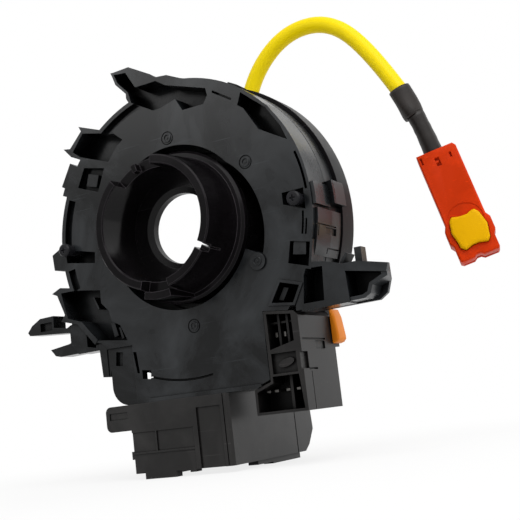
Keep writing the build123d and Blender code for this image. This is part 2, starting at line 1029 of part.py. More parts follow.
def cone_between(start, end, first, last):
    """Round taper between two points."""
    run = Vector(*end) - Vector(*start)
    foot = Plane(Vector(*start), z_dir=run)
    body = Cone(first / 2, last / 2, run.length, align=(Align.CENTER, Align.CENTER, Align.MIN))
    return foot * body


def plug_entry():
    """Middle of the lead where it enters the plug's cable end."""
    turn = math.radians(plug_angle)
    x = plug_x - plug_length / 2 * math.cos(turn) - plug_entry_side * math.sin(turn)
    y = plug_y - plug_length / 2 * math.sin(turn) + plug_entry_side * math.cos(turn)
    return (x, y, plug_face - plug_thickness / 2)


def behind(point, run):
    """Large block on the near side of a plane across a run."""
    reach = 4 * boot_wide
    return Plane(point, z_dir=run) * Pos(0, 0, -reach / 2) * Box(reach, reach, reach)


def shrink_boot():
    """Tapered boot at the end of the sleeve, cut square to it."""
    last = Vector(*lead_route[-1])
    before = Vector(*lead_route[-2])
    start = last - (Vector(*boot_end) - last).normalized()
    return cone_between(start, boot_end, boot_wide, boot_narrow) - behind(last, last - before)


def lead_tail():
    """Bare jacket between the boot and the plug."""
    x, y, z = plug_entry()
    end = Vector(*boot_end)
    run = (Vector(x, y, z) - end).normalized()
    start = end - run
    length = (Vector(x, y, z) - end).length + 3.0
    rod = Cylinder(tail_diameter / 2, length + 1.0, align=(Align.CENTER, Align.CENTER, Align.MIN))
    tail = Plane(start, z_dir=run) * rod
    return tail - squib_hull() - behind(end, end - Vector(*lead_route[-1]))


def plug_outline():
    """Outline of the plug along its length, wider beside the lock, with a notched nose."""
    half = plug_length / 2
    side = plug_width / 2
    near = catch_place - 4.0
    far = catch_place + 4.0
    return [
        (-half, -side),
        (near - 1.0, -side),
        (near + 1.4, -side - plug_bulge),
        (far - 1.6, -side - plug_bulge),
        (far, -side),
        (half - 0.7, -side),
        (half, -side + 0.9),
        (half, -2.4),
        (half - 0.9, -1.2),
        (half - 0.9, 0.4),
        (half, 1.6),
        (half, side - 0.7),
        (half - 0.7, side),
        (far + 0.6, side),
        (far - 1.2, side + plug_bulge),
        (near + 1.8, side + plug_bulge),
        (near, side),
        (-half + 1.4, side),
        (-half, side - 1.0),
    ]


def squib_hull():
    """Outer block of the plug."""
    hull = prism(plug_outline(), plug_face - plug_thickness, plug_face)
    hull = chamfer(hull.faces().sort_by(Axis.Z)[-1].edges(), 0.5)
    return on_plug(hull)


def squib_connector():
    """Plug body: lock seat, slots by the cable, nose recess and lock well."""
    half = plug_length / 2
    low = plug_face - plug_thickness
    side = plug_width / 2
    top = plug_face + 1
    cuts = block(-half + 1.2, -half + 4.1, -side + 0.9, -side + 1.7, plug_face - 1.6, top)
    cuts += block(-half + 3.3, -half + 6.8, -1.7, 0.1, plug_face - 1.6, top)
    cuts -= block(-half + 4.6, -half + 5.4, -1.7, -0.5, plug_face - 1.6, top)
    cuts += block(-half + 3.1, -half + 5.3, side - 3.6, side - 2.8, plug_face - 1.6, top)
    cuts += post(catch_place - 3.9, 0, 6.9, plug_face - 0.35, top)
    cuts += raised(grown(catch_outline(), catch_play), plug_face - catch_seat, top)
    stem = catch_stem / 2 + catch_play
    cuts += block(catch_place - stem, catch_place + stem, -stem, stem, plug_face - stem_depth, top)
    cuts += block(half - 9.0, half + 1, -side + plug_wall, side - plug_wall, low + 1.2, low + 3.4)
    return squib_hull() - on_plug(cuts)


def squib_terminals():
    """Two contacts in the plug's nose."""
    half = plug_length / 2
    low = plug_face - plug_thickness
    pins = []
    for y in (-2.5, 2.5):
        pins.append(on_plug(block(half - 9.0, half - 2.0, y - 0.6, y + 0.6, low + 1.9, low + 2.7)))
    return pins


def catch_outline():
    """Outline of the lock: soft corners, waisted ends and bowed sides."""
    long = catch_length / 2
    wide = catch_width / 2
    outline = [
        (-long, -wide + 2.2),
        (-long + 1.2, -wide + 1.0),
        (-0.8, -wide),
        (2.6, -wide + 0.8),
        (long - 1.2, -wide + 1.2),
        (long, -wide + 2.8),
        (long - 0.9, -1.0),
        (long - 0.9, 1.4),
        (long, wide - 2.2),
        (long - 1.3, wide - 1.0),
        (0.2, wide),
        (-long + 1.8, wide - 1.2),
        (-long + 0.2, wide - 2.4),
        (-long + 0.2, wide - 3.6),
        (-long + 1.0, 1.2),
        (-long + 0.8, -1.8),
    ]
    return [(catch_place + x, y) for x, y in outline]


def squib_lock():
    """Push-in lock with bowed sides and a stem into the plug."""
    seat = plug_face - catch_seat
    head = prism(catch_outline(), seat + catch_clear, plug_face + catch_rise)
    head = chamfer(head.faces().sort_by(Axis.Z)[-1].edges(), 0.5)
    half = catch_stem / 2
    low = plug_face - stem_depth + catch_clear
    stem = block(catch_place - half, catch_place + half, -half, half, low, seat + 0.6)
    return on_plug(head + stem)


# ---------------------------------------------------------------- housings


def lower_body():
    """Main block of the lower housing, from its outline seen from the side."""
    profile = [
        (lower_top, lower_rear),
        (lower_top, -lower_front + 2.0),
        (bar_bottom - 0.3, -lower_front + 0.6),
        (bar_bottom - 7.3, -lower_front),
        (lower_bottom + 2.4, -lower_front + 4.4),
        (lower_bottom, -lower_front + 8.0),
        (lower_bottom, lower_rear),
    ]
    face = make_face(Polyline(*profile, close=True))
    side_plane = Plane(origin=(lower_left, 0, 0), x_dir=(0, 1, 0), z_dir=(1, 0, 0))
    body = extrude(side_plane * face, lower_right - lower_left)
    rear_edges = body.edges().filter_by(Axis.Y).sort_by(Axis.Z)[-2:]
    return chamfer(rear_edges.sort_by(Axis.X)[-1:], 1.0)


def lower_marks():
    """Shallow panels and lines in the rear face, and the line round the front shell."""
    top = lower_rear + 1
    floor = lower_rear - 0.5
    low = lower_bottom - 1
    marks = block(lower_left - 1, -1.2, low, lower_top - 10.0, floor, top)
    marks -= block(lower_left - 1, -1.2, lower_bottom + 6.8, lower_bottom + 7.4, floor - 1, top + 1)
    marks -= block(-17.3, -16.7, lower_bottom + 7.1, lower_top - 9.0, floor - 1, top + 1)
    marks += block(0.6, 10.4, low, lower_top - 3.7, lower_rear - 0.7, top)
    marks += block(11.5, 11.9, low, lower_top + 1, lower_rear - 0.4, top)
    left = bar_left + 1.6
    marks += block(left, lower_left - 1.1, lower_top - 4.9, lower_top - 2.4, lower_rear - 0.4, top)
    marks += block(lower_right - 0.4, lower_right + 1, low, lower_top + 1, -lower_seam - 0.6, -lower_seam)
    return marks


def lower_feet():
    """Feet and small stops under the lower housing, and the rib on its left."""
    feet = block(lower_left, lower_left + 3.5, foot_level, lower_bottom, -foot_front, -8.0)
    feet += block(-23.3, -10.1, foot_level, lower_bottom, -3.0, lower_rear - 0.5)
    feet += block(-4.4, -1.9, lower_bottom - 0.9, lower_bottom, -3.0, lower_rear - 0.5)
    right = lower_right - 1.2
    feet += block(right - 4.0, right, foot_level + 0.6, lower_bottom, -foot_front, -17.0)
    feet += block(right - 4.0, right, foot_level, lower_bottom, -foot_front, -28.0)
    feet += block(lower_left - 1.1, lower_left, lower_bottom + 5.0, lower_bottom + 7.8, -8.0, 0.4)
    return feet


def lower_housing():
    """Column connector housing below the drum, with its top bar, feet and front socket."""
    bar = block(bar_left, lower_right - 2.4, bar_bottom, lower_top, -bar_depth, lower_rear)
    bar = fillet(bar.edges().filter_by(Axis.Z).sort_by(Axis.X)[:2], 2.2)
    socket = block(
        lower_left + lower_wall,
        lower_right - lower_wall,
        lower_bottom + lower_wall,
        lower_top - lower_wall,
        -lower_front - 1,
        -lower_front + lower_socket_depth,
    )
    middle = (lower_left + lower_right) / 2
    divider = block(middle - 0.8, middle + 0.8, lower_bottom, lower_top, -lower_front + 3.0, -30)
    return lower_body() + bar + lower_feet() - (socket - divider) - lower_marks()


def lower_terminals():
    """Pins in the two halves of the lower socket."""
    pins = []
    middle = (lower_left + lower_right) / 2
    back = -lower_front + lower_socket_depth
    for column in range(6):
        x = middle + 5.0 * (column - 2.5) + math.copysign(2.0, column - 2.5)
        for y in (lower_bottom + 8.4, lower_top - 8.0):
            pins.append(block(x - 0.5, x + 0.5, y - 0.5, y + 0.5, back - 12.0, back))
    return pins


def side_cells():
    """Open cells and the shallow recess in the rear face of the side housing."""
    left = side_left
    right = side_right
    upper = [
        (left + 1.0, side_top - 1.0),
        (right - 2.5, side_top - 2.1),
        (right - 2.4, side_top - 11.0),
        (left + 1.1, side_top - 13.1),
    ]
    lower = [
        (side_foot_left + 0.9, side_foot_top - 0.8),
        (left + 0.8, side_foot_top + 1.6),
        (left + 0.8, side_foot_top + 3.8),
        (right - 2.0, side_foot_top + 3.8),
        (right - 1.1, side_bottom + 0.9),
        (side_foot_left + 0.8, side_bottom + 0.9),
    ]
    cells = prism(upper, -cell_depth, 1) + prism(lower, -cell_depth, 1)
    for x in (left + 3.9, left + 7.1):
        cells -= block(x, x + 0.8, side_top - 14, side_top, -cell_depth - 1, -2.2)
    cells -= block(left, right, side_top - 4.6, side_top - 3.9, -cell_depth - 1, -2.8)
    cells -= block(left + 5.6, left + 6.6, side_bottom, side_foot_top + 4, -cell_depth - 1, -3.0)
    middle = block(left + 1.2, right - 2.2, side_top - 21.2, side_top - 14.4, -1.4, 1)
    bump = Pos((left + right) / 2, side_top - 17.8) * Rot(0, 0, 14) * Ellipse(3.0, 1.3)
    return cells + middle - raised(bump, -1.5, -0.5)


def side_marks():
    """Slits and shallow windows in the right side of the side housing."""
    face = side_right
    marks = block(face - 0.5, face + 1, side_top - 11.0, side_top - 10.4, -19.0, -1.4)
    marks += block(face - 0.5, face + 1, side_top - 14.0, side_top - 11.3, -18.3, -11.0)
    marks += block(face - 0.8, face + 1, side_top - 20.5, side_top - 14.9, -4.2, 1)
    marks += block(face - 0.6, face + 1, side_top - 20.9, side_top - 20.3, -10.6, -4.0)
    marks += block(face - 0.4, face + 1, side_bottom - 1, side_top - 21.4, -6.0, -5.6)
    return marks


def side_housing():
    """Column connector housing at the lower right, with open cells in its rear face."""
    solid = prism(side_outline(), -side_depth, 0) - side_cells() - side_marks()
    solid -= post(0, 0, ring_radius + housing_gap, -ring_depth - 1, -case_depth + 0.2)
    rail_top = lock_low - lock_play
    rail_low = rail_top - 1.6
    rail_end = -side_depth - lock_thickness - 1.2
    solid += block(side_right - 7.2, side_right, rail_low, rail_top, rail_end, -side_depth)
    well = -side_depth + side_socket_depth
    left = side_left + 2.5
    right = side_right - 1.4
    solid -= block(left, right, side_bottom + 2.6, side_bottom + 17.0, -side_depth - 1, well)
    return solid


def side_terminals():
    """Contacts in the cells of the side housing, and the pins of its front socket."""
    pins = []
    for x in (side_left + 2.4, side_left + 5.6):
        pins.append(block(x - 0.4, x + 0.4, side_top - 9.0, side_top - 7.4, -cell_depth, -3.4))
    row = side_foot_top - 0.9
    for x in (side_foot_left + 3.4, side_foot_left + 6.4, side_left + 4.3, side_left + 8.2):
        pins.append(block(x - 0.7, x + 0.7, row - 0.4, row + 0.4, -cell_depth, -3.6))
    well = -side_depth + side_socket_depth
    for x in (side_left + 4.9, side_left + 9.1):
        for y in (side_bottom + 6.4, side_bottom + 13.0):
            pins.append(block(x - 0.4, x + 0.4, y - 0.4, y + 0.4, well - 8.0, well))
    return pins


def socket_lock():
    """Sliding lock plate on the front of the side housing, with a rounded thumb tab."""
    back = -side_depth - lock_play
    root = side_right + 0.2
    plate = block(root - 2.8, root + 0.4, lock_low, side_top - 2.5, back - lock_thickness, back)
    tab = [
        (root, side_top - 0.3),
        (root + 0.9, side_top - 0.3),
        (root + 1.9, side_top - 3.3),
        (root + lock_reach + 0.3, side_top - 9.8),
        (root + lock_reach + 0.3, side_top - 11.0),
        (root + lock_reach - 0.6, side_top - 12.0),
        (root, side_top - 12.4),
    ]
    grip = prism(tab, back - 4.3, back + 2.5)
    ends = grip.faces().filter_by(Axis.Z).edges().filter_by_position(Axis.X, root + 0.1, 99)
    lock = plate + chamfer(ends, 0.5)
    return lock - post(0, 0, ring_radius + lock_play, -ring_depth - 1, -case_depth)


def case_screws():
    """Two cross-head screws that join cover and case."""
    screws = []
    top = screw_rise + screw_head_height
    for side in (-1, 1):
        x = side * screw_x
        foot = -slot_depth - pocket_wall
        shank = post(x, 0, screw_radius - screw_play, foot, screw_rise)
        head = post(x, 0, screw_head_radius, screw_rise, top)
        head = chamfer(head.edges().sort_by(Axis.Z)[-1], 0.5)
        for long, short in ((cross_length, cross_width), (cross_width, cross_length)):
            head -= Pos(x, 0, top) * Box(long, short, 2 * cross_depth)
        screws.append(shank + head)
    return screws


def save(name, shape):
    """Write one node's file."""
    if isinstance(shape, list):
        shape = Compound(children=[STAND * solid for solid in shape])
    else:
        shape = STAND * shape
    export_step(shape, f"parts/{name}.step")


def main():
    """Build and write every node."""
    os.makedirs("parts", exist_ok=True)
    makers = [
        rear_cover,
        stator_case,
        front_ring,
        lower_housing,
        lower_terminals,
        side_housing,
        side_terminals,
        case_screws,
        flat_cable,
        outer_lead_block,
        rotor_hub,
        cancel_cam,
        coil_liner,
        inner_lead_block,
        switch_socket,
        switch_terminals,
        lead_retainer,
        airbag_lead,
        shrink_boot,
        lead_tail,
        squib_connector,
        squib_terminals,
        squib_lock,
        socket_lock,
    ]
    for maker in makers:
        save(maker.__name__, maker())


main()
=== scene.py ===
"""Looks of the steering clock spring: stage, wheel lead, plug trim and finishes."""

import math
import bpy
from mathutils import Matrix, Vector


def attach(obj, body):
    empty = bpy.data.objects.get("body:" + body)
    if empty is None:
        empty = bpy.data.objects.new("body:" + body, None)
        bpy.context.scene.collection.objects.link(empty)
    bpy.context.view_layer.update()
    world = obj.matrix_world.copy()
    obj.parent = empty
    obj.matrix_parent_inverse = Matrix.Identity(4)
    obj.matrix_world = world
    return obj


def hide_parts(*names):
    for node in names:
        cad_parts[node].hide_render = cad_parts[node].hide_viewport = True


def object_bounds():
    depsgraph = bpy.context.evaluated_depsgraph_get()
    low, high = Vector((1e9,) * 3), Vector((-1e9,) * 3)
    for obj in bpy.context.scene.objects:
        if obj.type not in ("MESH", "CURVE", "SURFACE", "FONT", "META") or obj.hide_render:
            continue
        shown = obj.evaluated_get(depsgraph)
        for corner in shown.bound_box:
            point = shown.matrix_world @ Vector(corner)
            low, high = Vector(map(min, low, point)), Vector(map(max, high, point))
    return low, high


bl_info = {
    "name": "Steering Clock Spring",
    "version": (1, 0, 0),
    "blender": (4, 5, 0),
    "location": "View3D > Sidebar > Clock Spring",
    "description": "Dresses the spiral cable unit with its lead, trim and moulded finishes",
    "category": "Object",
}

import bmesh
import bpy
from mathutils import Matrix, Vector

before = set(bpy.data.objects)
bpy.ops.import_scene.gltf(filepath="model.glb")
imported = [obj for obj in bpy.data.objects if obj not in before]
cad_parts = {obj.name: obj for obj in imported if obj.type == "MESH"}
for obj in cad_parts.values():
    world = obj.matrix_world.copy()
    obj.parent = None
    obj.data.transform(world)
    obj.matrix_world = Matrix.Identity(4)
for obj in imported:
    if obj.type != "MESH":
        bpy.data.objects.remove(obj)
CAD_BOX = [list(corner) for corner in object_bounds()]

MM = 0.001

# Y of the column-side face, where the drum's own axes start, in metres.
FACE_Y = -0.0055

# Wheel lead and plug, in millimetres and degrees on the drum's own axes.
LEAD_ROUTE = (
    (-8.0, 40.0, -36.9),
    (-8.0, 40.0, -53.5),
    (-4.1, 51.4, -66.0),
    (4.3, 73.0, -66.0),
    (20.5, 86.0, -66.0),
    (40.0, 85.5, -66.0),
    (55.5, 69.5, -66.0),
    (66.3, 48.5, -66.0),
)
BOOT_END = (70.0, 37.6, -67.6)
JACKET_START = (70.6, 37.8, -67.6)
PLUG_PLACE = (80.9, 1.1)
PLUG_ANGLE = -75.2
PLUG_FACE = -67.0
PLUG_LENGTH = 44.6
PLUG_THICKNESS = 9.0
PLUG_ENTRY = -0.8

# Boot: share of its grip width left at each ring, then its lap and end step in millimetres.
BOOT_RINGS = (0.95, 1.0, 0.98, 0.96, 0.95, 0.96, 0.97, 0.95, 0.92, 0.84, 0.6, 0.0)
BOOT_LAP = 0.8
BOOT_STEP = 0.3

# Jacket: share of its radius at each ring, its laps and bow in millimetres, and its darker tone.
JACKET_RINGS = (1, 1, 0.98, 0.96, 0.99, 0.97, 1, 1.03, 1.02, 1.05, 1.08, 1.08)
JACKET_LAP = 1.0
JACKET_BOW = -0.4
JACKET_TONE = 0.8

# Crinkles: depth as a share of the radius, folds in a ring, then turn and swell in radians a ring.
BOOT_CRINKLE = 0.032
JACKET_CRINKLE = 0.014
CRINKLE_FOLDS = 3
CRINKLE_TURN = 1.7
CRINKLE_SWELL = 1.3

# Mould marks: angle, distance from the axis and rise, then both sections as radius and height.
DIALS = ((90.4, 32.7, 0.0), (29.1, 34.8, 0.0), (-85.4, 35.9, 0.0), (-29.9, 35.7, 0.7))
DIAL_RING = ((1.1, -0.1), (1.1, 0.28), (1.2, 0.38), (1.5, 0.38), (1.6, 0.28), (1.6, -0.1))
DIAL_PIP = ((0.0, 0.3), (0.34, 0.3), (0.46, 0.18), (0.46, -0.1))

# Mesh steps, and how near two corners are merged.
CURVE_STEPS = 24
SECTION_STEPS = 8
TUBE_SIDES = 28
DIAL_STEPS = 36
CAD_MERGE = 0.01 * MM
DIAL_MERGE = 0.001 * MM

# Edges under the first angle are flat, over the second get a bevel, under the third shade smooth.
FLAT_ANGLE = math.radians(1)
SHARP_ANGLE = math.radians(40)
SMOOTH_ANGLE = math.radians(38)

# Shared by the moulded finishes: grain, edge wear with painted highlight, and how far and how dark
# the painted shade in corners is.
GRAIN_STRENGTH = 0.35
WEAR_HIGHLIGHT_SHARE = 0.55
PAINTED_SHADE_REACH = 8.0 * MM
PAINTED_SHADE_TONE = 0.2
BEVEL_SAMPLES = 4
PAINTED_SHADE_SAMPLES = 8

# Camera's axes, place and clipping in metres, and its sensor in millimetres.
CAMERA_RIGHT = (0.8668, 0.4853, -0.1143)
CAMERA_BACK = (0.4678, -0.8709, -0.1503)
CAMERA_PLACE = (0.1861, -0.2929, -0.0671)
CAMERA_RANGE = (0.01, 50.0)
SENSOR_WIDTH = 36.0

# Each lamp's place and width in metres, and its share of the key power.
LAMPS = (
    ("Key", (0.50, -0.42, 0.76), 0.9, 1.0),
    ("Rim", (0.50, 0.80, 0.30), 1.0, 0.2),
    ("Sheen", (-0.465, -0.72, 0.45), 0.35, 0.11),
)

# Floor: its gap under the unit, its paint, and how its glow grows from the unit outwards.
FLOOR_GAP = 0.1 * MM
FLOOR_PAINT = (0.82, 0.82, 0.82, 1.0)
GLOW_REACH = (0.08, 0.30)
GLOW_SHARE = (0.80, 1.0)
ROOM_TINT = (1.0, 0.99, 0.98, 1.0)


def stand(x, y, z):
    """Point on the drum's own axes, in millimetres, as a point of the standing unit."""
    return Vector((x * MM, -z * MM + FACE_Y, y * MM))


# ------------------------------------------------------------------ settings


class ClockSpringStage(bpy.types.PropertyGroup):
    """Floor, lamps and camera."""

    floor_level: bpy.props.FloatProperty(
        name="Floor Level",
        description="Height of the floor from the steering axis",
        default=CAD_BOX[0][2] - FLOOR_GAP,
        unit="LENGTH",
    )
    floor_size: bpy.props.FloatProperty(
        name="Floor Size", description="Width of the floor", default=6.0, unit="LENGTH"
    )
    backdrop: bpy.props.FloatVectorProperty(
        name="Backdrop",
        description="Colour seen behind the unit",
        default=(1.0, 1.0, 1.0),
        subtype="COLOR",
    )
    room_light: bpy.props.FloatProperty(
        name="Room Light", description="Strength of the even light", default=0.55, min=0
    )
    key_power: bpy.props.FloatProperty(
        name="Key Power", description="Power of the soft key lamp", default=9.0, unit="POWER"
    )
    lens: bpy.props.FloatProperty(
        name="Lens", description="Focal length on a 36 mm sensor", default=67.85, unit="CAMERA"
    )


class ClockSpringLead(bpy.types.PropertyGroup):
    """Wheel lead, boot and jacket."""

    sleeve_diameter: bpy.props.FloatProperty(
        name="Sleeve Diameter",
        description="Outside diameter of the yellow sleeve",
        default=0.0066,
        unit="LENGTH",
    )
    boot_wide: bpy.props.FloatProperty(
        name="Boot Diameter",
        description="Diameter of the boot where it grips the sleeve",
        default=0.0086,
        unit="LENGTH",
    )
    jacket_diameter: bpy.props.FloatProperty(
        name="Jacket Diameter",
        description="Diameter of the jacket between boot and plug",
        default=0.0070,
        unit="LENGTH",
    )
    sleeve_colour: bpy.props.FloatVectorProperty(
        name="Sleeve Colour",
        description="Colour of the sleeve",
        default=(0.80, 0.62, 0.002),
        subtype="COLOR",
    )
    boot_colour: bpy.props.FloatVectorProperty(
        name="Boot Colour",
        description="Colour of the shrunk boot",
        default=(0.0105, 0.0080, 0.0070),
        subtype="COLOR",
    )


class ClockSpringFinish(bpy.types.PropertyGroup):
    """Colours of the mouldings and metal."""

    moulding: bpy.props.FloatVectorProperty(
        name="Moulding",
        description="Colour of the cover and case",
        default=(0.0032, 0.0036, 0.0040),
        subtype="COLOR",
    )
    polished: bpy.props.FloatVectorProperty(
        name="Polished Black",
        description="Colour of the sleeve and ring",
        default=(0.0030, 0.0026, 0.0030),
        subtype="COLOR",
    )
    housing: bpy.props.FloatVectorProperty(
        name="Housing",
        description="Colour of the plug housings",
        default=(0.0085, 0.0080, 0.0078),
        subtype="COLOR",
    )
    plug: bpy.props.FloatVectorProperty(
        name="Plug",
        description="Colour of the airbag plug",
        default=(0.48, 0.029, 0.002),
        subtype="COLOR",
    )
    plug_lock: bpy.props.FloatVectorProperty(
        name="Plug Lock",
        description="Colour of the plug's lock",
        default=(0.70, 0.37, 0.001),
        subtype="COLOR",
    )
    side_lock: bpy.props.FloatVectorProperty(
        name="Side Lock",
        description="Colour of the side housing's lock",
        default=(0.66, 0.19, 0.006),
        subtype="COLOR",
    )


# ------------------------------------------------------------------ shader tools


def node_of(tree, kind, inputs=None, **values):
    """New node with its plain attributes and its unlinked inputs set."""
    node = tree.nodes.new(kind)
    for name, value in values.items():
        setattr(node, name, value)
    for name, value in (inputs or {}).items():
        node.inputs[name].default_value = value
    return node


def emptied(data):
    """Node tree of a material or a world, with nothing in it."""
    data.use_nodes = True
    data.node_tree.nodes.clear()
    return data.node_tree


def seen_rays(tree):
    """Share of rays that see the plain backdrop: camera, mirror and glass rays."""
    rays = node_of(tree, "ShaderNodeLightPath")
    first = node_of(tree, "ShaderNodeMath", operation="MAXIMUM")
    last = node_of(tree, "ShaderNodeMath", operation="MAXIMUM")
    tree.links.new(rays.outputs["Is Camera Ray"], first.inputs[0])
    tree.links.new(rays.outputs["Is Glossy Ray"], first.inputs[1])
    tree.links.new(first.outputs["Value"], last.inputs[0])
    tree.links.new(rays.outputs["Is Transmission Ray"], last.inputs[1])
    return last.outputs["Value"]


def group_of(name, inputs, outputs):
    """New node group: its tree, its input node and its output node."""
    group = bpy.data.node_groups.new(name, "ShaderNodeTree")
    for socket, default in inputs.items():
        kind = "NodeSocketVector" if isinstance(default, tuple) else "NodeSocketFloat"
        made = group.interface.new_socket(socket, in_out="INPUT", socket_type=kind)
        made.default_value = default
    for socket in outputs:
        group.interface.new_socket(socket, in_out="OUTPUT", socket_type="NodeSocketFloat")
    return group, group.nodes.new("NodeGroupInput"), group.nodes.new("NodeGroupOutput")


def grain_group(name):
    """Moulded grain: fine pits over a slow waviness."""
    inputs = {"Vector": (0.0, 0.0, 0.0), "Grain Scale": 900.0, "Wave Share": 0.35}
    group, into, out = group_of(name, inputs, ["Height"])
    link = group.links.new
    pits = node_of(group, "ShaderNodeTexNoise", {"Detail": 3.0})
    slow = node_of(group, "ShaderNodeTexNoise", {"Scale": 60.0, "Detail": 2.0})
    mix = node_of(group, "ShaderNodeMix", data_type="FLOAT")
    link(into.outputs["Vector"], pits.inputs["Vector"])
    link(into.outputs["Vector"], slow.inputs["Vector"])
    link(into.outputs["Grain Scale"], pits.inputs["Scale"])
    link(into.outputs["Wave Share"], mix.inputs["Factor"])
    link(pits.outputs["Fac"], mix.inputs["A"])
    link(slow.outputs["Fac"], mix.inputs["B"])
    link(mix.outputs["Result"], out.inputs["Height"])
    return group


def marks_group(name):
    """Handling marks: soft smudges and fine straight scratches."""
    inputs = {"Vector": (0.0, 0.0, 0.0), "Smudge Scale": 55.0}
    group, into, out = group_of(name, inputs, ["Smudge", "Scratch"])
    link = group.links.new
    cloudy = {"Detail": 5.0, "Roughness": 0.62, "Distortion": 0.6}
    smudge = node_of(group, "ShaderNodeTexNoise", cloudy)
    soft = node_of(group, "ShaderNodeMapRange", {"From Min": 0.42, "From Max": 0.72})
    drawn_out = {"Rotation": (0.3, 0.8, 0.5), "Scale": (40.0, 900.0, 1500.0)}
    turn = node_of(group, "ShaderNodeMapping", drawn_out)
    streak = node_of(group, "ShaderNodeTexNoise", {"Scale": 1.0, "Detail": 1.0})
    thin = node_of(group, "ShaderNodeMapRange", {"From Min": 0.70, "From Max": 0.78})
    link(into.outputs["Vector"], smudge.inputs["Vector"])
    link(into.outputs["Smudge Scale"], smudge.inputs["Scale"])
    link(smudge.outputs["Fac"], soft.inputs["Value"])
    link(soft.outputs["Result"], out.inputs["Smudge"])
    link(into.outputs["Vector"], turn.inputs["Vector"])
    link(turn.outputs["Vector"], streak.inputs["Vector"])
    link(streak.outputs["Fac"], thin.inputs["Value"])
    link(thin.outputs["Result"], out.inputs["Scratch"])
    return group


def edge_group(name):
    """Edge mask: how far a rounded normal leans from the flat one."""
    inputs = {"Rounded": (0.0, 0.0, 0.0), "Flat": (0.0, 0.0, 0.0)}
    group, into, out = group_of(name, inputs, ["Mask"])
    link = group.links.new
    dot = node_of(group, "ShaderNodeVectorMath", operation="DOT_PRODUCT")
    spread = node_of(group, "ShaderNodeMapRange", {"From Min": 0.99, "From Max": 0.80})
    link(into.outputs["Rounded"], dot.inputs[0])
    link(into.outputs["Flat"], dot.inputs[1])
    link(dot.outputs["Value"], spread.inputs["Value"])
    link(spread.outputs["Result"], out.inputs["Mask"])
    return group


def painted_shade_group(name):
    """Painted shade in corners from an occlusion mask, and coat gloss that fades there, uneven
    where the surface was handled.
    """
    inputs = {"Openness": 1.0, "Smudge": 0.0, "Gloss": 0.3, "Uneven": 1.6}
    group, into, out = group_of(name, inputs, ["Shelter", "Weight"])
    link = group.links.new
    deep = node_of(
        group,
        "ShaderNodeMapRange",
        {"From Min": 0.95, "From Max": 0.35},
        interpolation_type="SMOOTHSTEP",
    )
    shown = node_of(group, "ShaderNodeMath", {0: 1.0}, operation="SUBTRACT")
    uneven = node_of(group, "ShaderNodeMapRange", {"To Min": 0.85})
    part = node_of(group, "ShaderNodeMath", operation="MULTIPLY")
    whole = node_of(group, "ShaderNodeMath", operation="MULTIPLY")
    link(into.outputs["Openness"], deep.inputs["Value"])
    link(deep.outputs["Result"], shown.inputs[1])
    link(into.outputs["Smudge"], uneven.inputs["Value"])
    link(into.outputs["Uneven"], uneven.inputs["To Max"])
    link(shown.outputs["Value"], part.inputs[0])
    link(uneven.outputs["Result"], part.inputs[1])
    link(part.outputs["Value"], whole.inputs[0])
    link(into.outputs["Gloss"], whole.inputs[1])
    link(deep.outputs["Result"], out.inputs["Shelter"])
    link(whole.outputs["Value"], out.inputs["Weight"])
    return group


SHARED_GROUPS = {
    "Moulded Grain": grain_group,
    "Handling Marks": marks_group,
    "Worn Edge Highlight": edge_group,
    "Sheltered Gloss": painted_shade_group,
}


def shared(tree, name, inputs=None):
    """A shared group, built on its first use, placed in a material with its own values."""
    group = bpy.data.node_groups.get(name) or SHARED_GROUPS[name](name)
    return node_of(tree, "ShaderNodeGroup", inputs, node_tree=group)


def toned(colour, share):
    """Colour made lighter or darker, as a full colour value."""
    return (*[min(1.0, part * share) for part in colour], 1.0)


def grained_normal(tree, where, rounded, scale, depth):
    """Normal of a surface with rounded edges and moulded grain."""
    grain = shared(tree, "Moulded Grain", {"Grain Scale": scale})
    relief = {"Strength": GRAIN_STRENGTH, "Distance": depth * MM}
    bump = node_of(tree, "ShaderNodeBump", relief)
    tree.links.new(where, grain.inputs["Vector"])
    tree.links.new(grain.outputs["Height"], bump.inputs["Height"])
    tree.links.new(rounded, bump.inputs["Normal"])
    return bump.outputs["Normal"]


def rubbed_highlit_colour(tree, colour, marks, rounded, lift, wear_highlight_lift, scratches):
    """Base colour, lighter where smudged and lightest on scratches and on edges, whose lift is
    partly wear and partly painted highlight.
    """
    link = tree.links.new
    flat = node_of(tree, "ShaderNodeNewGeometry")
    edge = shared(tree, "Worn Edge Highlight")
    link(rounded, edge.inputs["Rounded"])
    link(flat.outputs["True Normal"], edge.inputs["Flat"])
    faint = node_of(tree, "ShaderNodeMath", {1: scratches}, operation="MULTIPLY")
    most = node_of(tree, "ShaderNodeMath", operation="MAXIMUM")
    ease = node_of(tree, "ShaderNodeMath", {1: WEAR_HIGHLIGHT_SHARE}, operation="MULTIPLY")
    link(marks.outputs["Scratch"], faint.inputs[0])
    link(edge.outputs["Mask"], most.inputs[0])
    link(faint.outputs["Value"], most.inputs[1])
    link(most.outputs["Value"], ease.inputs[0])
    shades = {"A": (*colour, 1.0), "B": toned(colour, lift)}
    smudged = node_of(tree, "ShaderNodeMix", shades, data_type="RGBA")
    # Edge lift: edges painted lighter, partly as wear and partly as painted highlight along rims.
    wear_highlit = node_of(tree, "ShaderNodeMix", {"B": toned(colour, wear_highlight_lift)}, data_type="RGBA")
    link(marks.outputs["Smudge"], smudged.inputs["Factor"])
    link(smudged.outputs["Result"], wear_highlit.inputs["A"])
    link(ease.outputs["Value"], wear_highlit.inputs["Factor"])
    return wear_highlit.outputs["Result"]


